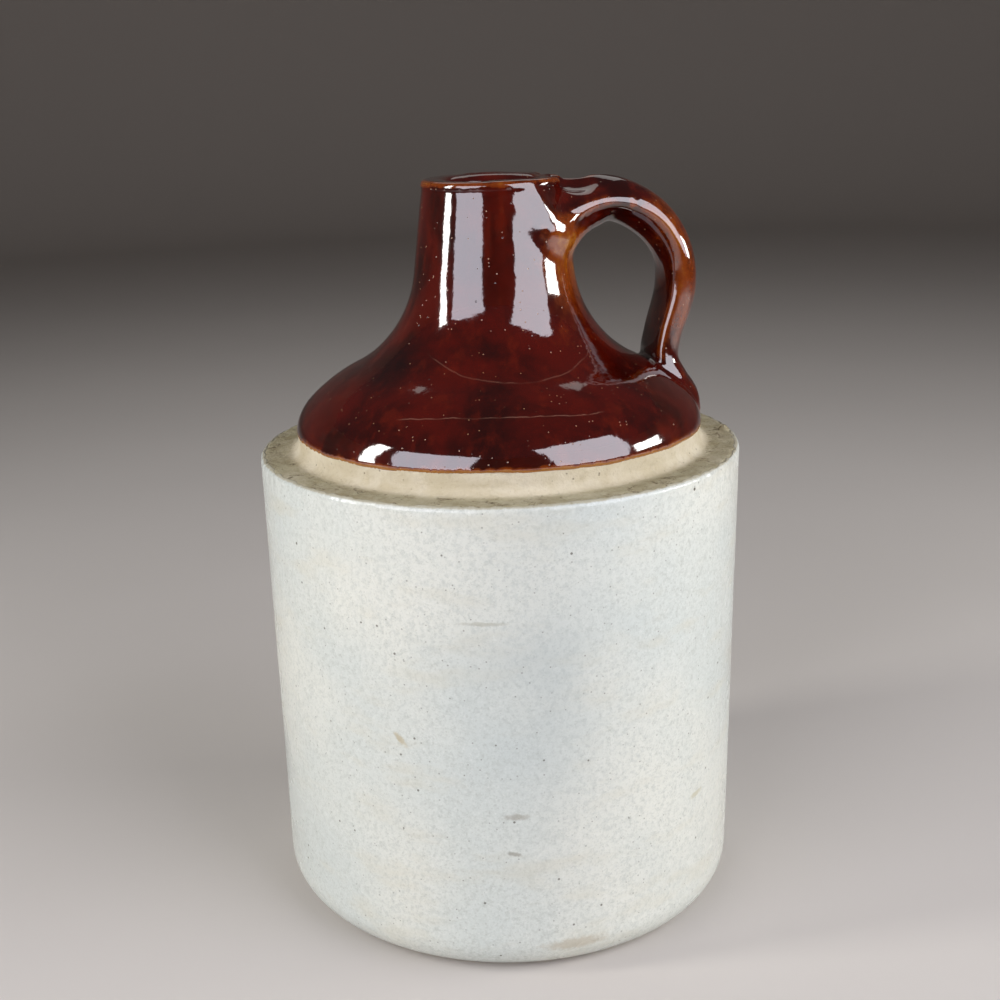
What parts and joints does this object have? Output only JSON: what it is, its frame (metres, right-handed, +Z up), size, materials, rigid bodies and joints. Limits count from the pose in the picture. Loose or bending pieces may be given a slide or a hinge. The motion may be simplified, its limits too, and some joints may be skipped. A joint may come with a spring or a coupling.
{
  "type": "stoneware jug",
  "caption": "Straight-sided stoneware storage jug with a ledged, domed shoulder, narrow neck and open mouth, and a strap handle from lip to shoulder.",
  "frame": {"origin": "middle of the foot, on the jug's own axis, where it stands", "axes": "+Z up along the jug's axis, +X towards the handle"},
  "size_m": [0.18, 0.18, 0.276],
  "materials": {
    "brown_glaze": "thick glossy brown slip glaze, amber where it runs thin",
    "white_glaze": "glossy grey-white glaze with fine dark specks",
    "bare_clay": "dull unglazed fired clay"
  },
  "bodies": {
    "root": {"jug": "brown_glaze"}
  },
  "joints": []
}
